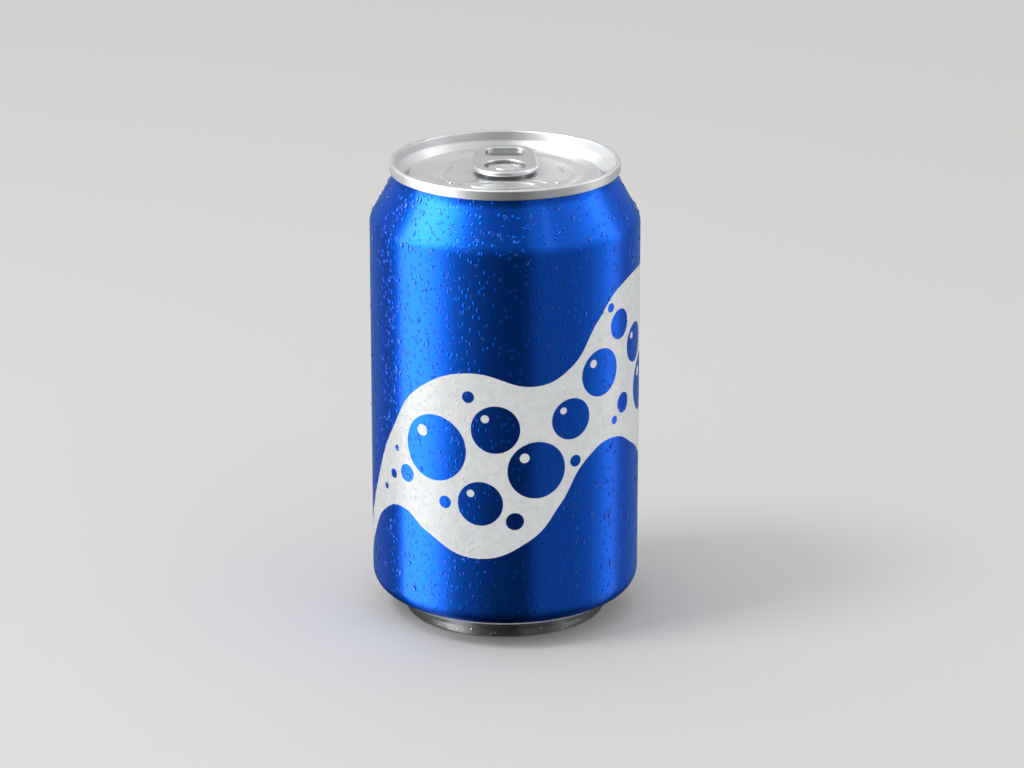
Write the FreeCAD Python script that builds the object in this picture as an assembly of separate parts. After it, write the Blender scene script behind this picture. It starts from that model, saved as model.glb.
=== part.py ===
"""A closed 330 ml drinks can: a drawn and ironed body, an easy-open end seamed onto it, and a stay-on tab
riveted to the end. Millimetres, +Z up, origin at the centre of the standing ring, mouth towards -Y.

The can is shut, so the body is one solid right through, drink included, up to the underside of the end."""

import FreeCAD, Part
import math
import os

V = FreeCAD.Vector
os.makedirs("parts", exist_ok=True)

# ---- can body ----------------------------------------------------------------------------------------------
can_height = 115.2
body_radius = 33.1
standing_radius = 23.9        # middle of the ring that the can stands on
standing_flat = 0.5           # width of the flat worn on that ring
bead_radius = 1.2             # rounding from the flat into the dome's leg
foot_height = 2.6             # short upright foot outside the standing ring
foot_bead_radius = 0.75       # rounding from the flat into the foot
foot_throat_radius = 1.0      # hollow curve from the foot into the chime
chime_angle = 33.0            # outer slope of the base, from level
base_corner_radius = 5.0      # from that slope into the side wall
dome_height = 10.2
dome_radius = 46.0
dome_leg_run = 1.3            # how far the inner leg leans in as it rises
dome_leg_height = 4.6
dome_knuckle_radius = 1.2
shoulder_radius = 5.0
neck_height = 11.6            # shoulder corner to the underside of the seam
neck_throat_radius = 3.0      # hollow curve just under the seam
neck_collar_height = 1.3      # short upright collar under the seam

# ---- seam and wall of the end ------------------------------------------------------------------------------
seam_radius = 28.15
seam_height = 2.6
seam_thickness = 1.2
seam_overhang = 0.85          # how far the seam stands out past the collar
seam_top_radius = 0.5
seam_wall_height = 2.3        # upright wall inside the seam
seam_wall_run = 0.3
chuck_wall_run = 1.75         # sloping wall below it
chuck_wall_drop = 2.7
countersink_width = 1.3
countersink_depth = 5.9       # below the top of the seam
countersink_corner = 0.55
panel_depth = 3.2             # below the top of the seam
panel_edge_run = 0.25
panel_edge_radius = 0.7
sheet_thickness = 0.35        # of the end's walls
panel_thickness = 1.0         # of the end's panel, from its top down to the drink's solid

# ---- pressed features of the panel -------------------------------------------------------------------------
recess_margin = 3.95          # panel edge to the recess
recess_slope = 1.9
recess_depth = 0.45
recess_rounding = 2.5
side_bead_margin = 2.3        # recess floor's edge to the middle of each side bead
side_bead_width = 1.5
side_bead_height = 0.3
side_bead_from = -32.0        # degrees, from the can's side towards the back
side_bead_to = 26.0
score_width = 0.5
score_depth = 0.14
score_margin = 1.3            # recess floor's edge to the score, at the front
score_start = 4.7             # from the rivet's axis to the score behind the mouth
score_half_width = 10.8
score_hinge_angle = 32.0      # unscored arc that holds the mouth's flap
mouth_bead_inset = 2.4
mouth_bead_width = 1.2
mouth_bead_height = 0.22
finger_well_length = 6.4
finger_well_width = 12.0
finger_well_depth = 0.4
finger_well_margin = 0.7      # recess floor's edge to the well, at the back

# ---- rivet -------------------------------------------------------------------------------------------------
boss_height = 1.0             # raised seat round the rivet
boss_top_radius = 3.2
boss_foot_radius = 4.3
boss_rounding = 0.5
rivet_shank_radius = 1.55
rivet_head_radius = 2.6
rivet_head_height = 0.5
rivet_head_rounding = 0.35
rivet_dimple_radius = 1.2
rivet_dimple_depth = 0.2

# ---- pull tab ----------------------------------------------------------------------------------------------
tab_nose_radius = 8.1
tab_nose_reach = 6.3          # rivet's axis to the tip of the nose
tab_tail_reach = 19.3         # rivet's axis to the lifting end
tab_tail_half_width = 7.3
tab_tail_corner = 5.4
tab_lift = 0.75               # rolled edge above the recess floor
tab_thickness = 1.35
tab_edge_rounding = 0.6
hole_edge_rounding = 0.35
web_thickness = 0.35          # sheet at the bottom of the rivet's well
well_radius = 5.0
well_offset = 0.75            # rivet's axis to the well's centre, towards the tail
tongue_half_width = 4.2
tongue_reach = 4.4            # rivet's axis to the tongue's free end
tongue_root = 2.2             # rivet's axis to the ends of the slot round the tongue, towards the nose
finger_hole_gap = 3.4         # rivet's well to the finger hole
finger_hole_half_width = 4.8
finger_hole_corner = 2.4
finger_hole_edge = 2.7        # finger hole to the tail's tip
rivet_clearance = 0.05

# ---- heights and radii that follow -------------------------------------------------------------------------
seam_underside = can_height - seam_height
shoulder_z = seam_underside - neck_height
collar_radius = seam_radius - seam_overhang
seam_inner_radius = seam_radius - seam_thickness
chuck_top_radius = seam_inner_radius - seam_wall_run
chuck_foot_radius = chuck_top_radius - chuck_wall_run
chuck_top_z = can_height - seam_wall_height
chuck_foot_z = chuck_top_z - chuck_wall_drop
countersink_z = can_height - countersink_depth
panel_foot_radius = chuck_foot_radius - countersink_width
panel_radius = panel_foot_radius - panel_edge_run
panel_z = can_height - panel_depth
recess_radius = panel_radius - recess_margin
recess_floor_radius = recess_radius - recess_slope
recess_z = panel_z - recess_depth
boss_z = recess_z + boss_height
web_top_z = boss_z + web_thickness
tab_bottom_z = recess_z + tab_lift
tab_top_z = tab_bottom_z + tab_thickness


def rounded_path(corners):
    """Edges in the XZ half-plane through corners (radius, z, rounding), each corner rounded by a tangent arc."""
    points = [V(r, 0, z) for r, z, _ in corners]
    edges = []
    start = points[0]
    for before, here, after, (_, _, rounding) in zip(points, points[1:], points[2:], corners[1:]):
        into, out = (here - before).normalize(), (after - here).normalize()
        turn = into.getAngle(out)
        if rounding <= 0 or turn < 1e-6:
            edges.append(Part.LineSegment(start, here).toShape())
            start = here
            continue
        cut = rounding * math.tan(turn / 2)
        arc_start, arc_end = here - into * cut, here + out * cut
        inward = (out - into).normalize()
        middle = here + inward * (rounding / math.cos(turn / 2) - rounding)
        edges.append(Part.LineSegment(start, arc_start).toShape())
        edges.append(Part.Arc(arc_start, middle, arc_end).toShape())
        start = arc_end
    edges.append(Part.LineSegment(start, points[-1]).toShape())
    return edges


def turned(edges):
    """The solid of revolution about Z of a closed outline."""
    face = Part.Face(Part.Wire(edges))
    return face.revolve(V(0, 0, 0), V(0, 0, 1), 360)


def end_underside():
    """Where the end meets the body's solid, from the collar inwards to the axis."""
    lean = sheet_thickness / math.cos(math.atan2(chuck_wall_run, chuck_wall_drop))
    slope = chuck_wall_run / chuck_wall_drop
    upright_radius = chuck_top_radius + sheet_thickness
    bend_z = chuck_top_z - (sheet_thickness * 0.5)
    foot_z = countersink_z - sheet_thickness
    foot_radius = chuck_foot_radius + lean - slope * (chuck_foot_z - foot_z)
    bend_radius = chuck_foot_radius + lean + slope * (bend_z - chuck_foot_z)
    foot_radius = max(foot_radius, chuck_foot_radius + sheet_thickness)
    inner_radius = panel_radius - sheet_thickness
    return [
        (collar_radius, seam_underside, 0),
        (min(upright_radius, bend_radius), seam_underside, 0),
        (foot_radius, foot_z, 0),
        (inner_radius, foot_z, 0),
        (inner_radius, panel_z - panel_thickness, 0),
        (0, panel_z - panel_thickness, 0),
    ]


def can_body():
    """Side wall, necked shoulder and domed base, with the drink inside as one solid."""
    flat_in = standing_radius - standing_flat / 2
    foot_radius = standing_radius + standing_flat / 2 + foot_bead_radius
    wall_foot_z = foot_height + (body_radius - foot_radius) * math.tan(math.radians(chime_angle))
    leg_angle = math.atan2(dome_leg_height, -dome_leg_run)
    leg_foot = flat_in - bead_radius * math.tan((math.pi - leg_angle) / 2)
    leg_top = V(leg_foot - dome_leg_run, 0, dome_leg_height)
    apex = V(0, 0, dome_height)
    chord = apex.distanceToPoint(leg_top)
    sag = dome_radius - math.sqrt(dome_radius ** 2 - (chord / 2) ** 2)
    across = V(dome_height - leg_top.z, 0, leg_top.x).normalize()
    dome = Part.Arc(apex, (apex + leg_top) * 0.5 + across * sag, leg_top).toShape()
    outside = rounded_path(
        [
            (leg_top.x, leg_top.z, 0),
            (leg_foot, 0, bead_radius),
            (foot_radius, 0, foot_bead_radius),
            (foot_radius, foot_height, foot_throat_radius),
            (body_radius, wall_foot_z, base_corner_radius),
            (body_radius, shoulder_z, shoulder_radius),
            (collar_radius, seam_underside - neck_collar_height, neck_throat_radius),
            (collar_radius, seam_underside, 0),
        ]
    )
    axis = Part.LineSegment(V(0, 0, panel_z - panel_thickness), apex).toShape()
    solid = turned([dome] + outside + rounded_path(end_underside()) + [axis])
    knuckle = [
        e for e in solid.Edges
        if abs(e.BoundBox.ZMax - leg_top.z) < 1e-3 and abs(e.BoundBox.ZMin - leg_top.z) < 1e-3
        and abs(e.BoundBox.XMax - leg_top.x) < 1e-3
    ]
    return solid.makeFillet(dome_knuckle_radius, knuckle)


def disc(radius, z, height):
    return Part.makeCylinder(radius, height, V(0, 0, z))


def oval(half_x, half_y, centre_y, z, height):
    """An upright elliptical block."""
    along_x = half_x >= half_y
    ellipse = Part.Ellipse(V(0, 0, 0), max(half_x, half_y), min(half_x, half_y))
    face = Part.Face(Part.Wire(ellipse.toShape()))
    if not along_x:
        face.rotate(V(0, 0, 0), V(0, 0, 1), 90)
    face.translate(V(0, centre_y, z))
    return face.extrude(V(0, 0, height))


def seam_and_panel():
    """Seam, walls, countersink, panel, its round recess and the rivet's boss, all turned in one."""
    top = [
        (0, boss_z, 0),
        (boss_top_radius, boss_z, boss_rounding),
        (boss_foot_radius, recess_z, boss_rounding),
        (recess_floor_radius, recess_z, recess_rounding),
        (recess_radius, panel_z, recess_rounding),
        (panel_radius, panel_z, panel_edge_radius),
        (panel_foot_radius, countersink_z, countersink_corner),
        (chuck_foot_radius, countersink_z, countersink_corner),
        (chuck_foot_radius, chuck_foot_z, 0),
        (chuck_top_radius, chuck_top_z, 1.0),
        (seam_inner_radius, can_height, seam_top_radius),
        (seam_radius, can_height, seam_top_radius),
        (seam_radius, seam_underside, 0.4),
        (collar_radius, seam_underside, 0),
    ]
    axis = Part.LineSegment(V(0, 0, panel_z - panel_thickness), V(0, 0, boss_z)).toShape()
    return turned(rounded_path(top) + rounded_path(end_underside()) + [axis])


def side_bead(side):
    """One curved stiffening bead beside the tab, with rounded ends."""
    middle = recess_floor_radius - side_bead_margin
    half = side_bead_width / 2
    first, last = math.radians(side_bead_from), math.radians(side_bead_to)

    def at(radius, angle):
        return V(side * radius * math.cos(angle), radius * math.sin(angle), recess_z)

    def past(angle, step):
        return at(middle, angle) + V(-side * math.sin(angle), math.cos(angle), 0) * (half * step)

    between = (first + last) / 2
    edges = [
        Part.Arc(at(middle + half, first), at(middle + half, between), at(middle + half, last)),
        Part.Arc(at(middle + half, last), past(last, 1), at(middle - half, last)),
        Part.Arc(at(middle - half, last), at(middle - half, between), at(middle - half, first)),
        Part.Arc(at(middle - half, first), past(first, -1), at(middle + half, first)),
    ]
    face = Part.Face(Part.Wire([e.toShape() for e in edges]))
    bead = face.extrude(V(0, 0, side_bead_height))
    crown = [e for e in bead.Edges if e.BoundBox.ZMin > recess_z + side_bead_height - 1e-3]
    return bead.makeFillet(side_bead_height * 0.6, crown)


score_front = recess_floor_radius - score_margin
score_centre_y = -(score_start + score_front) / 2
score_half_length = (score_front - score_start) / 2


def score_groove():
    """The scored line round the mouth, left out over the hinge."""
    half = score_width / 2
    bottom = recess_z - score_depth
    ring = oval(score_half_width + half, score_half_length + half, score_centre_y, bottom, score_depth)
    ring = ring.cut(oval(score_half_width - half, score_half_length - half, score_centre_y, bottom, score_depth))
    hinge = Part.makeCylinder(2 * score_half_width, score_depth, V(0, score_centre_y, bottom), V(0, 0, 1),
                              score_hinge_angle)
    hinge.rotate(V(0, score_centre_y, 0), V(0, 0, 1), 110)
    return ring.cut(hinge)


def mouth_bead():
    """The raised loop inside the score that stiffens the flap."""
    out_x, out_y = score_half_width - mouth_bead_inset, score_half_length - mouth_bead_inset
    ring = oval(out_x, out_y, score_centre_y, recess_z, mouth_bead_height)
    inner = oval(out_x - mouth_bead_width, out_y - mouth_bead_width, score_centre_y, recess_z, mouth_bead_height)
    ring = ring.cut(inner)
    crown = [e for e in ring.Edges if e.BoundBox.ZMin > recess_z + mouth_bead_height - 1e-3]
    return ring.makeFillet(mouth_bead_height * 0.6, crown)


def finger_well():
    """The hollow under the tab's lifting end."""
    centre_y = recess_floor_radius - finger_well_margin - finger_well_length / 2
    return oval(finger_well_width / 2, finger_well_length / 2, centre_y,
                recess_z - finger_well_depth, finger_well_depth)


def rivet():
    """The rivet drawn up out of the panel: a shank through the tab and a flattened, dimpled head."""
    shank = disc(rivet_shank_radius, boss_z, web_thickness)
    head = disc(rivet_head_radius, web_top_z, rivet_head_height)
    rim = [e for e in head.Edges if e.BoundBox.ZMin > web_top_z + rivet_head_height - 1e-3]
    head = head.makeFillet(rivet_head_rounding, rim)
    dimple = Part.makeCone(rivet_dimple_radius * 0.6, rivet_dimple_radius, rivet_dimple_depth,
                           V(0, 0, web_top_z + rivet_head_height - rivet_dimple_depth))
    return shank.fuse(head.cut(dimple))


def easy_open_end():
    """The whole end in one piece, rivet included."""
    end = seam_and_panel().cut(score_groove()).cut(finger_well())
    for raised in (side_bead(-1), side_bead(1), mouth_bead(), rivet()):
        end = end.fuse(raised)
    return end.removeSplitter()


def tab_outline(z):
    """The tab's outline: a round nose, straight tapering sides and a rounded tail."""
    nose_y = tab_nose_radius - tab_nose_reach
    corner_x = tab_tail_half_width - tab_tail_corner
    corner_y = tab_tail_reach - tab_tail_corner
    diagonal = tab_tail_corner * math.sqrt(0.5)

    def tail(side):
        return (
            V(side * tab_tail_half_width, corner_y, z),
            V(side * (corner_x + diagonal), corner_y + diagonal, z),
            V(side * corner_x, tab_tail_reach, z),
        )

    right, left = tail(1), tail(-1)
    nose_right, nose_left = V(tab_nose_radius, nose_y, z), V(-tab_nose_radius, nose_y, z)
    edges = [
        Part.Arc(nose_left, V(0, -tab_nose_reach, z), nose_right),
        Part.LineSegment(nose_right, right[0]),
        Part.Arc(*right),
        Part.LineSegment(right[2], left[2]),
        Part.Arc(left[2], left[1], left[0]),
        Part.LineSegment(left[0], nose_left),
    ]
    return Part.Wire([e.toShape() for e in edges])


def tongue_slot():
    """The open slot round the tongue: the back of the rivet's well, less the tongue itself."""
    height = web_top_z - boss_z
    slot = Part.makeCylinder(well_radius, height, V(0, well_offset, boss_z))
    span = 2 * well_radius
    behind = Part.makeBox(2 * span, span + tongue_root, height, V(-span, -tongue_root, boss_z))
    end_y = tongue_reach - tongue_half_width
    tongue = Part.makeCylinder(tongue_half_width, height, V(0, end_y, boss_z))
    tongue = tongue.fuse(Part.makeBox(2 * tongue_half_width, span + end_y, height,
                                      V(-tongue_half_width, -span, boss_z)))
    return slot.common(behind).cut(tongue)


def finger_hole():
    """The block that fills the finger hole."""
    front = well_offset + well_radius + finger_hole_gap
    back = tab_tail_reach - finger_hole_edge
    block = Part.makeBox(2 * finger_hole_half_width, back - front, tab_thickness,
                         V(-finger_hole_half_width, front, tab_bottom_z))
    upright = [e for e in block.Edges if e.BoundBox.ZLength > tab_thickness - 1e-3]
    return block.makeFillet(finger_hole_corner, upright)


def pull_tab():
    """The stay-on tab: a rolled edge all round, a finger hole, and a tongue that the rivet holds."""
    tab = Part.Face(tab_outline(tab_bottom_z)).extrude(V(0, 0, tab_thickness))
    rolled = [e for e in tab.Edges if e.BoundBox.ZLength < 1e-3]
    tab = tab.makeFillet(tab_edge_rounding, rolled)
    tab = tab.cut(Part.makeCylinder(well_radius, tab_top_z - web_top_z, V(0, well_offset, web_top_z)))
    tab = tab.cut(Part.makeCylinder(well_radius, boss_z - tab_bottom_z, V(0, well_offset, tab_bottom_z)))
    tab = tab.cut(finger_hole())
    hole_rims = [
        e for e in tab.Edges
        if e.BoundBox.ZMin > tab_top_z - 1e-3 and e.BoundBox.XMax < tab_tail_half_width - tab_edge_rounding - 0.1
        and e.BoundBox.XMin > -tab_tail_half_width + tab_edge_rounding + 0.1
        and e.BoundBox.YMax < tab_tail_reach - tab_edge_rounding - 0.1
    ]
    tab = tab.makeFillet(hole_edge_rounding, hole_rims)
    tab = tab.cut(tongue_slot())
    tab = tab.cut(disc(rivet_shank_radius + rivet_clearance, boss_z, web_thickness))
    return tab.removeSplitter()


for node, shape in (("can_body", can_body()), ("easy_open_end", easy_open_end()), ("pull_tab", pull_tab())):
    print(node, "solids", len(shape.Solids), "valid", shape.isValid(), "volume", round(shape.Volume, 2))
    shape.exportStep("parts/" + node + ".step")
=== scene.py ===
import math
import random

import bpy
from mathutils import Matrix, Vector


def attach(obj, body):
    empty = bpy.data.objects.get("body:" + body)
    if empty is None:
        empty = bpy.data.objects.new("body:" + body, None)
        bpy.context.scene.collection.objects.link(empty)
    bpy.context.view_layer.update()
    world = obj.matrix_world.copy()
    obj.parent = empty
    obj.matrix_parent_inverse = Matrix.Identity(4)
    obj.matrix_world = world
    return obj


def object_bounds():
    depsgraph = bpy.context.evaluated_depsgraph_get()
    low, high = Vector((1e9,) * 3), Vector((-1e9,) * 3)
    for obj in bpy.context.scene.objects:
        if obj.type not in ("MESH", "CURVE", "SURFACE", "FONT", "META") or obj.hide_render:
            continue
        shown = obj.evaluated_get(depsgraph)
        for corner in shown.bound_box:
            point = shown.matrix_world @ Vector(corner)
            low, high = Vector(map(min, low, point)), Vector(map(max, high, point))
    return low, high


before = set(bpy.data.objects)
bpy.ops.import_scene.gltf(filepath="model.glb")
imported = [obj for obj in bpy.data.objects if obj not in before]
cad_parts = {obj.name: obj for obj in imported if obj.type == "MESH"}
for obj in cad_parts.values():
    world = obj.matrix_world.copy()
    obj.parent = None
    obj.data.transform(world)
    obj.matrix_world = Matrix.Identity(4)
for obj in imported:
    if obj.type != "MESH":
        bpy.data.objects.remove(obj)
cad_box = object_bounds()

# ---- Can body ----------------------------------------------------------------------------------------------
# One aluminium cup, drawn and ironed, with a domed base and a necked top. The side is printed on a mandrel in
# transparent blue and opaque white ink and then varnished; the base below the print is left bare.

MM = 0.001
CAN_HEIGHT = cad_box[1].z - cad_box[0].z
WALL_RADIUS = (cad_box[1].x - cad_box[0].x) / 2

PRINT_FOOT = 6.0 * MM          # lowest edge of the blue, on the base's slope
PAINTED_HIGHLIGHT_LINE = 0.9 * MM          # height of the thin white ink line below it, a painted highlight along the print's foot
PRINT_SEAM = -108.0            # degrees from the front, where the print's two ends meet
INK_EDGE = 0.12 * MM           # softness of a printed edge
MOTTLE = 2.2 * MM              # size of the cloudiness in the white ink
IRONING_LINE = 0.35 * MM       # spacing of the upright lines of ironing, drawn coarser than the real ones
MIST_GRAIN = 0.7 * MM          # spacing of the finest condensation, drawn as relief in the varnish
MIST_DEPTH = 0.012 * MM
BEAD_SPACING = 1.35 * MM       # the beads of water that stand in that mist, as relief too
BEAD_RADIUS = 0.37 * MM
BEAD_TALL = 0.11 * MM
WATER_SAG = 0.7                # width over height of the mist's grains and beads, which sag as they hang

BLUE_LACQUER = "055CD9"
BLUE_EDGE = "7BC4F9"           # what the blue turns to where it is seen at a low angle
WHITE_INK = "E7E9EA"
WHITE_INK_THIN = "DCE0E2"
BARE_ALUMINIUM = "D2D4D6"
IRONED_ROUGHNESS = (0.27, 0.33)
INK_ROUGHNESS = 0.42
INK_METAL = 0.06               # how much of the metal's mirror the white ink lets through

# The white wave's edges, as degrees round the can from the front and millimetres above the table.
WAVE_TOP = [
    (-108, 13.4), (-103, 13.4), (-97, 14.8), (-90, 18.6), (-75, 32), (-56, 52.3), (-36, 66.5), (-15, 71),
    (14, 67.8), (28, 71.2), (43, 82), (57, 88.5), (80, 90), (110, 84), (145, 66), (185, 46), (215, 31),
    (235, 19), (245, 14.8), (252, 13.4),
]
WAVE_FOOT = [
    (-108, 9.4), (-103, 9.4), (-97, 10.2), (-90, 12.6), (-76, 21.8), (-63, 30.3), (-50, 33.3), (-36, 29.2),
    (-12, 23.8), (10, 28.3), (24, 37.2), (38, 48), (50, 50.8), (70, 46.3), (100, 35), (150, 29), (190, 23),
    (215, 17), (235, 11.4), (245, 9.9), (252, 9.4),
]

# Blue bubbles in the wave, as degrees, millimetres up and millimetres of radius.
BUBBLES = [
    (-31, 51, 8.4), (-10.5, 38, 5.6), (-4, 57, 6.0), (13.5, 46.5, 7.2), (29, 58.5, 5.2), (44.5, 68.5, 6.0),
    (57, 79, 3.8), (60, 58.5, 2.6), (31, 47.6, 1.5), (4.2, 33.6, 2.2), (-26, 37.5, 1.6), (-46, 42.5, 2.3),
    (-15.5, 65, 1.5), (50.5, 84, 1.2), (53.5, 55, 1.1), (-55, 41, 1.2), (-61, 36.8, 0.8), (-52.5, 48, 0.8),
    (72, 72, 5.0), (84, 60, 7.4), (101, 71, 4.0), (96, 46, 3.0), (116, 55, 6.0), (133, 42, 3.6),
    (150, 50, 5.0), (168, 40, 2.6), (190, 35, 3.8), (209, 26.5, 2.2), (121, 71, 2.0), (142, 60, 1.6),
    (223, 20.5, 1.7),
]
GLINT_FROM = 4.5               # millimetres of radius above which a bubble has a white glint
GLINT_LEFT = 0.42              # the glint's place and size, in shares of the bubble's radius
GLINT_UP = 0.45
GLINT_RADIUS = 0.17


def linear(hex_colour):
    """An sRGB hex colour as linear RGBA."""
    parts = [int(hex_colour[i : i + 2], 16) / 255 for i in (0, 2, 4)]
    return [c / 12.92 if c <= 0.04045 else ((c + 0.055) / 1.055) ** 2.4 for c in parts] + [1.0]


def add(tree, kind, inputs=None, **settings):
    """Adds a node, sets its properties, and links or sets its inputs."""
    node = tree.nodes.new(kind)
    for name, value in settings.items():
        setattr(node, name, value)
    for key, value in (inputs or {}).items():
        if isinstance(value, bpy.types.NodeSocket):
            tree.links.new(value, node.inputs[key])
        else:
            node.inputs[key].default_value = value
    return node


def draw_curve(curve, places):
    """Draws a curve node's line smoothly through places, each a pair from 0 to 1."""
    line = curve.mapping.curves[0]
    line.points[0].location = places[0]
    line.points[-1].location = places[-1]
    for place in places[1:-1]:
        line.points.new(*place)
    curve.mapping.update()


def new_material(name):
    """An empty node material and its tree."""
    material = bpy.data.materials.new(name)
    material.use_nodes = True
    material.node_tree.nodes.clear()
    return material, material.node_tree


def shade(piece, material):
    """Gives a piece one material all over."""
    piece.data.materials.clear()
    piece.data.materials.append(material)


# Printed drawn aluminium: transparent blue over bright metal under a clear varnish. The metal shows through
# the blue as deep, saturated reflections, the opaque white hides it, and the varnish adds a thin white shine.
body_finish, tree = new_material("printed_drawn_aluminium")
place = add(tree, "ShaderNodeTexCoord").outputs["Object"]
xyz = add(tree, "ShaderNodeSeparateXYZ", {0: place}).outputs
height = xyz["Z"]
toward_front = add(tree, "ShaderNodeMath", {0: xyz["Y"], 1: -1.0}, operation="MULTIPLY").outputs[0]
angle = add(tree, "ShaderNodeMath", {0: xyz["X"], 1: toward_front}, operation="ARCTAN2").outputs[0]
past_seam = add(tree, "ShaderNodeMath", {0: angle, 1: math.radians(-PRINT_SEAM)}, operation="ADD").outputs[0]
turns = add(tree, "ShaderNodeMath", {0: past_seam, 1: 2 * math.pi}, operation="DIVIDE").outputs[0]
turn = add(tree, "ShaderNodeMath", {0: turns}, operation="FRACT").outputs[0]
along = add(tree, "ShaderNodeMath", {0: turn, 1: 2 * math.pi * WALL_RADIUS}, operation="MULTIPLY").outputs[0]
flat = add(tree, "ShaderNodeCombineXYZ", {0: along, 1: height}).outputs[0]


def wave_height(points):
    """The height of one edge of the wave at each place round the can."""
    edge = add(tree, "ShaderNodeFloatCurve", {"Value": turn})
    draw_curve(edge, [((deg - PRINT_SEAM) / 360, mm_up * MM / CAN_HEIGHT) for deg, mm_up in points])
    return add(tree, "ShaderNodeMath", {0: edge.outputs[0], 1: CAN_HEIGHT}, operation="MULTIPLY").outputs[0]


def round_spot(deg, mm_up, radius_mm):
    """Signed distance into a round spot printed at that place, positive inside."""
    centre = ((deg - PRINT_SEAM) / 360 * 2 * math.pi * WALL_RADIUS, mm_up * MM, 0)
    away = add(tree, "ShaderNodeVectorMath", {0: flat, 1: centre}, operation="DISTANCE").outputs["Value"]
    return add(tree, "ShaderNodeMath", {0: radius_mm * MM, 1: away}, operation="SUBTRACT").outputs[0]


def ink_side(inside):
    """1 where a signed distance is positive, 0 where it is negative, over the softness of a printed edge."""
    return add(tree, "ShaderNodeMapRange", {0: inside, 1: -INK_EDGE / 2, 2: INK_EDGE / 2}).outputs[0]


top = wave_height(WAVE_TOP)
foot = wave_height(WAVE_FOOT)
below_top = add(tree, "ShaderNodeMath", {0: top, 1: height}, operation="SUBTRACT").outputs[0]
above_foot = add(tree, "ShaderNodeMath", {0: height, 1: foot}, operation="SUBTRACT").outputs[0]
in_white = add(tree, "ShaderNodeMath", {0: below_top, 1: above_foot}, operation="MINIMUM").outputs[0]
for deg, mm_up, radius_mm in BUBBLES:
    spot = round_spot(deg, mm_up, radius_mm)
    if radius_mm >= GLINT_FROM:
        side = math.degrees(GLINT_LEFT * radius_mm * MM / WALL_RADIUS)
        glint = round_spot(deg - side, mm_up + GLINT_UP * radius_mm, GLINT_RADIUS * radius_mm)
        off_glint = add(tree, "ShaderNodeMath", {0: glint, 1: -1.0}, operation="MULTIPLY").outputs[0]
        spot = add(tree, "ShaderNodeMath", {0: spot, 1: off_glint}, operation="MINIMUM").outputs[0]
    off_spot = add(tree, "ShaderNodeMath", {0: spot, 1: -1.0}, operation="MULTIPLY").outputs[0]
    in_white = add(tree, "ShaderNodeMath", {0: in_white, 1: off_spot}, operation="MINIMUM").outputs[0]

# Below the blue, a thin line of white ink is a painted highlight, where the edge of the print would catch the
# light.
painted_highlight_foot = PRINT_FOOT - PAINTED_HIGHLIGHT_LINE
above_painted_highlight = add(tree, "ShaderNodeMath", {0: height, 1: painted_highlight_foot}, operation="SUBTRACT").outputs[0]
under_blue = add(tree, "ShaderNodeMath", {0: PRINT_FOOT, 1: height}, operation="SUBTRACT").outputs[0]
in_painted_highlight = add(tree, "ShaderNodeMath", {0: above_painted_highlight, 1: under_blue}, operation="MINIMUM").outputs[0]
wave = ink_side(in_white)
white = add(tree, "ShaderNodeMath", {0: wave, 1: ink_side(in_painted_highlight)}, operation="MAXIMUM").outputs[0]
above_base = add(tree, "ShaderNodeMath", {0: height, 1: PRINT_FOOT}, operation="SUBTRACT").outputs[0]
printed = ink_side(above_base)
blue_shows = add(tree, "ShaderNodeMath", {0: printed, 1: white}, operation="SUBTRACT").outputs[0]

clouds = {"Vector": place, "Scale": 1 / MOTTLE, "Detail": 3.0, "Roughness": 0.6}
cloud = add(tree, "ShaderNodeTexNoise", clouds).outputs[0]
thickness = add(tree, "ShaderNodeMapRange", {0: cloud, 1: 0.35, 2: 0.65}).outputs[0]
ink_colours = {0: thickness, 6: linear(WHITE_INK_THIN), 7: linear(WHITE_INK)}
white_colour = add(tree, "ShaderNodeMix", ink_colours, data_type="RGBA").outputs[2]
metal_colours = {0: printed, 6: linear(BARE_ALUMINIUM), 7: linear(BLUE_LACQUER)}
metal_colour = add(tree, "ShaderNodeMix", metal_colours, data_type="RGBA").outputs[2]
colours = {0: white, 6: metal_colour, 7: white_colour}
colour = add(tree, "ShaderNodeMix", colours, data_type="RGBA").outputs[2]
metal_showing = add(tree, "ShaderNodeMapRange", {0: white, 3: 1.0, 4: INK_METAL}).outputs[0]
edge_colours = {0: blue_shows, 6: (1, 1, 1, 1), 7: linear(BLUE_EDGE)}
low_angle = add(tree, "ShaderNodeMix", edge_colours, data_type="RGBA", clamp_factor=True).outputs[2]

upright = add(tree, "ShaderNodeMapping", {0: place, 3: (1.0, 1.0, 0.01)}).outputs[0]
ironing = {"Vector": upright, "Scale": 1 / IRONING_LINE, "Detail": 2.0}
lines = add(tree, "ShaderNodeTexNoise", ironing).outputs[0]
smoothest, roughest = IRONED_ROUGHNESS
ironed = add(tree, "ShaderNodeMapRange", {0: lines, 1: 0.3, 2: 0.7, 3: smoothest, 4: roughest}).outputs[0]
roughness = add(tree, "ShaderNodeMix", {0: white, 2: ironed, 3: INK_ROUGHNESS}, data_type="FLOAT").outputs[0]

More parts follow.
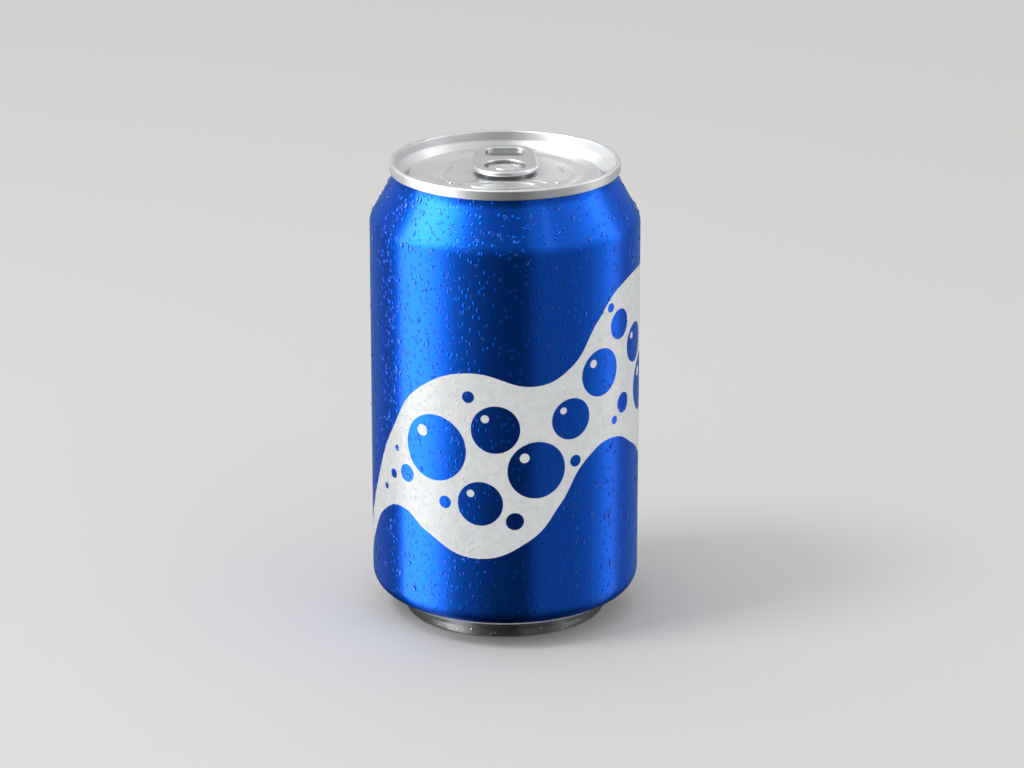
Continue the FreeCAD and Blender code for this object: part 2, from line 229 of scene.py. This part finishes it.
film = add(tree, "ShaderNodeMapping", {0: place, 3: (1.0, 1.0, WATER_SAG)}).outputs[0]
mist = add(tree, "ShaderNodeTexNoise", {"Vector": film, "Scale": 1 / MIST_GRAIN, "Detail": 2.0}).outputs[0]
misted = add(tree, "ShaderNodeBump", {"Strength": 1.0, "Distance": MIST_DEPTH, "Height": mist}).outputs[0]
cells = add(tree, "ShaderNodeTexVoronoi", {"Vector": film, "Scale": 1 / BEAD_SPACING}).outputs["Distance"]
cell_radii = BEAD_SPACING / BEAD_RADIUS
off_centre = add(tree, "ShaderNodeMath", {0: cells, 1: cell_radii}, operation="MULTIPLY").outputs[0]
fall = add(tree, "ShaderNodeMath", {0: off_centre, 1: 2.0}, operation="POWER").outputs[0]
bead = add(tree, "ShaderNodeMath", {0: 1.0, 1: fall}, operation="SUBTRACT", use_clamp=True).outputs[0]
bead_relief = {"Strength": 1.0, "Distance": BEAD_TALL, "Height": bead, "Normal": misted}
beaded = add(tree, "ShaderNodeBump", bead_relief).outputs[0]

body_shader = add(
    tree,
    "ShaderNodeBsdfPrincipled",
    {
        "Base Color": colour,
        "Metallic": metal_showing,
        "Roughness": roughness,
        "Normal": beaded,
        "Specular Tint": low_angle,
        "Anisotropic": 0.8,
        "Anisotropic Rotation": 0.25,
        "Coat Weight": 0.25,
        "Coat Roughness": 0.08,
        "Coat IOR": 1.5,
    },
)
add(tree, "ShaderNodeOutputMaterial", {"Surface": body_shader.outputs[0]})
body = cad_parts["can_body"]
shade(body, body_finish)

# ---- Easy-open end -----------------------------------------------------------------------------------------
# A disc of rolled aluminium sheet, pressed with its recess, beads, score and rivet, and seamed onto the body.
# It is clear-lacquered in the coil, so it stays bright, with the fine straight grain of rolling along Y.

ROLLING_GRAIN = 0.3 * MM       # drawn coarser than the real 0.05 mm, which wouldn't show
GRAIN_DRAWN_OUT = 0.02         # width over length of one streak of that grain
HANDLING = 6 * MM              # size of the faint cloudiness that handling leaves
SHEET_BRIGHT = "DCDDDE"
SHEET_WORN = "C9CBCD"


def rolled_sheet(name, grain_depth, bright, dull):
    """Rolled aluminium sheet: satin metal whose grain runs along Y and spreads highlights across it."""
    material, tree = new_material(name)
    place = add(tree, "ShaderNodeTexCoord").outputs["Object"]
    drawn_out = add(tree, "ShaderNodeMapping", {0: place, 3: (1.0, GRAIN_DRAWN_OUT, 1.0)}).outputs[0]
    streaks = {"Vector": drawn_out, "Scale": 1 / ROLLING_GRAIN, "Detail": 3.0}
    grain = add(tree, "ShaderNodeTexNoise", streaks).outputs[0]
    wear = add(tree, "ShaderNodeTexNoise", {"Vector": place, "Scale": 1 / HANDLING, "Detail": 4.0}).outputs[0]
    tones = {0: wear, 6: linear(SHEET_WORN), 7: linear(SHEET_BRIGHT)}
    tone = add(tree, "ShaderNodeMix", tones, data_type="RGBA").outputs[2]
    roughness = add(tree, "ShaderNodeMapRange", {0: wear, 1: 0.3, 2: 0.7, 3: bright, 4: dull}).outputs[0]
    bump = add(tree, "ShaderNodeBump", {"Strength": 0.5, "Distance": grain_depth, "Height": grain}).outputs[0]
    metal = {"Base Color": tone, "Metallic": 1.0, "Roughness": roughness, "Normal": bump}
    shader = add(tree, "ShaderNodeBsdfPrincipled", metal)
    add(tree, "ShaderNodeOutputMaterial", {"Surface": shader.outputs[0]})
    return material


can_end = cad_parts["easy_open_end"]
shade(can_end, rolled_sheet("rolled_aluminium_end_sheet", grain_depth=0.002 * MM, bright=0.36, dull=0.44))

# ---- Pull tab ----------------------------------------------------------------------------------------------
# A stay-on tab pressed from thicker sheet with its edges rolled under, held by the rivet through its tongue.
# Tumbling in the press leaves it a little brighter and smoother than the end.

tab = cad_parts["pull_tab"]
shade(tab, rolled_sheet("rolled_aluminium_tab_sheet", grain_depth=0.0015 * MM, bright=0.28, dull=0.36))

# ---- Condensation ------------------------------------------------------------------------------------------
# Beads of water on the cold side wall, from mist to drops that have begun to run together. Each is a low dome
# standing on the varnish, sunk slightly into it so that no air shows under the water.

SINK = 0.03 * MM
WET_FROM = 10 * MM             # the drops stand from this height up to the collar under the seam
WET_UP_TO = CAN_HEIGHT - 4.5 * MM
WETTEST_TURN = -0.85           # radians from the front, where they stand closest
WETTEST_SPREAD = 0.5
DRIEST = 0.45                  # how close they stand elsewhere, as a share of that
FINENESS = 1.4                 # above 1, small drops outnumber large ones
TALL = (0.5, 0.75)             # a drop's height, in shares of its radius
WATER_IOR = 1.333
RIPPLE = 0.8 * MM
RIPPLE_DEPTH = 0.01 * MM

# Clear water: colourless and very smooth, so each drop bends what lies under it and carries one sharp light.
# A faint unevenness of its skin keeps two drops from looking alike.
clear_water, tree = new_material("clear_water")
place = add(tree, "ShaderNodeTexCoord").outputs["Object"]
ripple = add(tree, "ShaderNodeTexNoise", {"Vector": place, "Scale": 1 / RIPPLE}).outputs[0]
skin = add(tree, "ShaderNodeBump", {"Strength": 0.2, "Distance": RIPPLE_DEPTH, "Height": ripple}).outputs[0]
water = add(
    tree,
    "ShaderNodeBsdfPrincipled",
    {
        "Base Color": linear("FFFFFF"),
        "Roughness": 0.02,
        "IOR": WATER_IOR,
        "Transmission Weight": 1.0,
        "Normal": skin,
    },
)
add(tree, "ShaderNodeOutputMaterial", {"Surface": water.outputs[0]})


def dome(verts, faces, foot, out, across, up, radius, tall, stretch, sides, rings):
    """Adds one closed water dome: across and up span the wall, out leaves it."""
    start = len(verts)
    for ring in range(rings):
        lean = ring / rings * math.pi / 2
        spread = radius * math.cos(lean)
        rise = tall * math.sin(lean)
        for k in range(sides):
            turn = 2 * math.pi * k / sides
            shift = across * (spread * math.cos(turn)) + up * (spread * stretch * math.sin(turn))
            verts.append(foot + shift + out * (rise - SINK))
    verts.append(foot + out * (tall - SINK))
    top = len(verts) - 1
    for ring in range(rings - 1):
        low = start + ring * sides
        high = low + sides
        for k in range(sides):
            n = (k + 1) % sides
            faces.append((low + k, low + n, high + n, high + k))
    last = start + (rings - 1) * sides
    for k in range(sides):
        faces.append((last + k, last + (k + 1) % sides, top))
    faces.append(tuple(start + k for k in reversed(range(sides))))


def wall_at(turn, z):
    """A place on the can's side, found on the body itself, with the way out of it and level outward."""
    outward = Vector((math.sin(turn), -math.cos(turn), 0))
    reach = outward * (2 * WALL_RADIUS)
    hit, spot, normal, face = body.ray_cast(reach + Vector((0, 0, z)), -outward)
    level = math.hypot(normal.x, normal.y)
    steep = Vector((outward.x * level, outward.y * level, normal.z))
    return spot, steep.normalized(), outward


def scatter(name, count, small, large, stretch_most, sides, rings, seed):
    """One mesh of water domes strewn over the printed side, none past the can's own box."""
    draw = random.Random(seed)
    verts = []
    faces = []
    while len(faces) < count * (sides * rings + 1):
        turn = draw.uniform(-math.pi, math.pi)
        near_wettest = math.exp(-(((turn - WETTEST_TURN) / WETTEST_SPREAD) ** 2))
        wet = DRIEST + (1 - DRIEST) * near_wettest
        z = draw.uniform(WET_FROM, WET_UP_TO)
        radius = small * (large / small) ** (draw.random() ** FINENESS)
        tall = radius * draw.uniform(*TALL)
        stretch = draw.uniform(1.0, stretch_most)
        if draw.random() > wet:
            continue
        spot, out, outward = wall_at(turn, z)
        tip = spot + out * tall
        if abs(tip.x) > cad_box[1].x or abs(tip.y) > cad_box[1].y:
            continue
        across = Vector((-outward.y, outward.x, 0))
        up = out.cross(across)
        dome(verts, faces, spot, out, across, up, radius, tall, stretch, sides, rings)
    mesh = bpy.data.meshes.new(name)
    mesh.from_pydata(verts, [], faces)
    mesh.shade_smooth()
    piece = bpy.data.objects.new(name, mesh)
    bpy.context.scene.collection.objects.link(piece)
    shade(piece, clear_water)
    # Light reaches the print under a drop as it does the print beside it.
    piece.visible_shadow = False
    piece.visible_diffuse = False
    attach(piece, "root")


scatter("condensation_mist", 2000, 0.17 * MM, 0.36 * MM, stretch_most=1.6, sides=9, rings=3, seed=11)
scatter("condensation_drops", 700, 0.34 * MM, 0.62 * MM, stretch_most=1.7, sides=14, rings=5, seed=23)

# ---- Studio ------------------------------------------------------------------------------------------------
# A plain pale floor under a soft white sky. Round the can stands a cone of grey and white cloth that only its
# shiny faces see: it is brightest on the left, dark in front, and bright again behind the right shoulder.

FLOOR_PALE = "CFCECC"
FLOOR_HALF = 1.6
PAPER_TOOTH = 1.5 * MM
PAPER_DEPTH = 0.02 * MM

CLOTH_LINE = [(0.0247, 0.0004), (0.042, 0.001), (0.8, 1.1)]   # the cloth's outline, as radius and height
CLOTH_SIDES = 96
CLOTH_BRIGHTEST = 5.0
CLOTH_LOW = 0.086                      # the cloth grows brighter from this height
CLOTH_HIGH = 0.2                       # up to this one
CLOTH_RISE = 2.2                       # by this much
CLOTH_SHADY = 0.034                    # the can's own shade lies on the cloth out to this radius
CLOTH_CLEAR = 0.044                    # and has gone at this one
CLOTH_SHADE = 0.13                     # what is left of the cloth's light in it

# How bright the cloth is in each direction, in degrees from the front toward the right.
CLOTH_LIGHT = [
    (-180, 0.34), (-165, 0.46), (-148, 0.52), (-126, 0.38), (-114, 0.42), (-107, 0.75), (-102, 2.4),
    (-97, 3.2), (-88, 3.4), (-78, 3.3), (-70, 2.7), (-63, 2.2), (-58, 1.6), (-52, 1.0), (-46, 0.6),
    (-40, 0.4), (-26, 0.25), (-18, 0.16), (-6, 0.11), (20, 0.11), (28, 0.28), (50, 0.31), (62, 0.33),
    (74, 0.4), (88, 0.6), (96, 0.85), (104, 1.2), (112, 1.15), (120, 0.6), (130, 0.42), (150, 0.46),
    (168, 0.42), (180, 0.34),
]

SKY_LEVEL = 0.87
SKY_LEVEL_SIDE = 0.85                  # the sky's brightness at its foot and overhead, over that level
SKY_LEVEL_TOP = 1.1

# Each lamp's name, place in metres, width and height, and power in watts.
LAMPS = [
    ("key_lamp", (-0.52, -0.2, 0.93), 0.3, 0.3, 3.6),
    ("small_window_lamp", (0.49, -0.525, 0.65), 0.06, 0.12, 0.08),
]


def stand_mesh(name, verts, faces):
    """A mesh that belongs to the studio and not to the can."""
    mesh = bpy.data.meshes.new(name)
    mesh.from_pydata(verts, [], faces)
    piece = bpy.data.objects.new(name, mesh)
    bpy.context.scene.collection.objects.link(piece)
    return piece


floor_corners = [(-FLOOR_HALF, -FLOOR_HALF), (FLOOR_HALF, -FLOOR_HALF), (FLOOR_HALF, FLOOR_HALF)]
floor_corners.append((-FLOOR_HALF, FLOOR_HALF))
floor = stand_mesh("studio_floor", [(x, y, 0) for x, y in floor_corners], [(0, 1, 2, 3)])

# Matt paper, pressed and unglazed: its tooth scatters light evenly, so it takes a soft shadow and no shine.
matt_paper, tree = new_material("matt_pale_paper")
place = add(tree, "ShaderNodeTexCoord").outputs["Object"]
tooth = add(tree, "ShaderNodeTexNoise", {"Vector": place, "Scale": 1 / PAPER_TOOTH}).outputs[0]
paper_relief = {"Strength": 0.1, "Distance": PAPER_DEPTH, "Height": tooth}
paper_skin = add(tree, "ShaderNodeBump", paper_relief).outputs[0]
paper = add(
    tree,
    "ShaderNodeBsdfPrincipled",
    {"Base Color": linear(FLOOR_PALE), "Roughness": 0.9, "Specular IOR Level": 0.1, "Normal": paper_skin},
)
add(tree, "ShaderNodeOutputMaterial", {"Surface": paper.outputs[0]})
shade(floor, matt_paper)

cloth_verts = []
for reach, z in CLOTH_LINE:
    for k in range(CLOTH_SIDES):
        bearing = 2 * math.pi * k / CLOTH_SIDES
        cloth_verts.append((reach * math.sin(bearing), -reach * math.cos(bearing), z))
cloth_faces = []
for row in range(len(CLOTH_LINE) - 1):
    low = row * CLOTH_SIDES
    high = low + CLOTH_SIDES
    for k in range(CLOTH_SIDES):
        n = (k + 1) % CLOTH_SIDES
        cloth_faces.append((low + k, low + n, high + n, high + k))
cloth = stand_mesh("reflector_cloth", cloth_verts, cloth_faces)
cloth.visible_camera = False
cloth.visible_diffuse = False
cloth.visible_shadow = False

# Woven cloth lit from behind: it glows evenly, with soft edges between its white and grey lengths. It stands
# close to the can, so its pattern fans out, to stand upright as the straight wall mirrors it.
glowing_cloth, tree = new_material("glowing_cloth")
place = add(tree, "ShaderNodeTexCoord").outputs["Object"]
xyz = add(tree, "ShaderNodeSeparateXYZ", {0: place}).outputs
front = add(tree, "ShaderNodeMath", {0: xyz["Y"], 1: -1.0}, operation="MULTIPLY").outputs[0]
bearing = add(tree, "ShaderNodeMath", {0: xyz["X"], 1: front}, operation="ARCTAN2").outputs[0]
level_place = add(tree, "ShaderNodeCombineXYZ", {0: xyz["X"], 1: xyz["Y"]}).outputs[0]
reach = add(tree, "ShaderNodeVectorMath", {0: level_place}, operation="LENGTH").outputs["Value"]
closeness = add(tree, "ShaderNodeMath", {0: WALL_RADIUS / 2, 1: reach}, operation="DIVIDE").outputs[0]
fan = add(tree, "ShaderNodeMath", {0: 1.0, 1: closeness}, operation="SUBTRACT").outputs[0]
direction = add(tree, "ShaderNodeMath", {0: bearing, 1: fan}, operation="DIVIDE").outputs[0]
share = add(tree, "ShaderNodeMapRange", {0: direction, 1: -math.pi, 2: math.pi}).outputs[0]
round_about = add(tree, "ShaderNodeFloatCurve", {"Value": share})
draw_curve(round_about, [((deg + 180) / 360, bright / CLOTH_BRIGHTEST) for deg, bright in CLOTH_LIGHT])
heights = {0: xyz["Z"], 1: CLOTH_LOW, 2: CLOTH_HIGH, 3: 1.0, 4: CLOTH_RISE}
rise = add(tree, "ShaderNodeMapRange", heights).outputs[0]
risen = add(tree, "ShaderNodeMath", {0: round_about.outputs[0], 1: rise}, operation="MULTIPLY").outputs[0]
bright = add(tree, "ShaderNodeMath", {0: risen, 1: CLOTH_BRIGHTEST}, operation="MULTIPLY").outputs[0]
radii = {0: reach, 1: CLOTH_SHADY, 2: CLOTH_CLEAR, 3: CLOTH_SHADE, 4: 1.0}
shaded = add(tree, "ShaderNodeMapRange", radii).outputs[0]
strength = add(tree, "ShaderNodeMath", {0: bright, 1: shaded}, operation="MULTIPLY").outputs[0]
glow = add(tree, "ShaderNodeEmission", {"Strength": strength}).outputs[0]
add(tree, "ShaderNodeOutputMaterial", {"Surface": glow})
shade(cloth, glowing_cloth)

for name, spot, wide, tall, power in LAMPS:
    light = bpy.data.lights.new(name, "AREA")
    light.shape = "RECTANGLE"
    light.size = wide
    light.size_y = tall
    light.energy = power
    lamp = bpy.data.objects.new(name, light)
    lamp.location = spot
    lamp.rotation_euler = (Vector((0, 0, CAN_HEIGHT / 2)) - lamp.location).to_track_quat("-Z", "Y").to_euler()
    bpy.context.scene.collection.objects.link(lamp)

sky = bpy.data.worlds.new("soft_white_sky")
bpy.context.scene.world = sky
sky.use_nodes = True
tree = sky.node_tree
tree.nodes.clear()
way = add(tree, "ShaderNodeTexCoord").outputs["Generated"]
steepness = add(tree, "ShaderNodeSeparateXYZ", {0: way}).outputs["Z"]
brighter_up = add(tree, "ShaderNodeMapRange", {0: steepness, 3: SKY_LEVEL_SIDE, 4: SKY_LEVEL_TOP}).outputs[0]
sky_level = add(tree, "ShaderNodeMath", {0: brighter_up, 1: SKY_LEVEL}, operation="MULTIPLY").outputs[0]
sky_light = add(tree, "ShaderNodeBackground", {"Color": (1, 1, 1, 1), "Strength": sky_level}).outputs[0]
add(tree, "ShaderNodeOutputWorld", {"Surface": sky_light})

# ---- Camera ------------------------------------------------------------------------------------------------
# A long lens a metre from the can, looking a little down at its middle, so that the end shows as a flat oval
# and the sides stay nearly parallel.

CAMERA_DISTANCE = 0.999
CAMERA_RISE = math.radians(18.59)
CAMERA_LENS = 141.9            # mm, on a 36 mm sensor
CAMERA_ASIDE = 1.7 * MM

lens = bpy.data.cameras.new("camera")
lens.lens = CAMERA_LENS
lens.sensor_width = 36.0
camera = bpy.data.objects.new("camera", lens)
aim = Vector((CAMERA_ASIDE, 0, CAN_HEIGHT / 2))
back = Vector((0, -math.cos(CAMERA_RISE), math.sin(CAMERA_RISE)))
camera.location = aim + back * CAMERA_DISTANCE
camera.rotation_euler = (-back).to_track_quat("-Z", "Y").to_euler()
bpy.context.scene.collection.objects.link(camera)
bpy.context.scene.camera = camera
bpy.context.scene.view_settings.view_transform = "Standard"
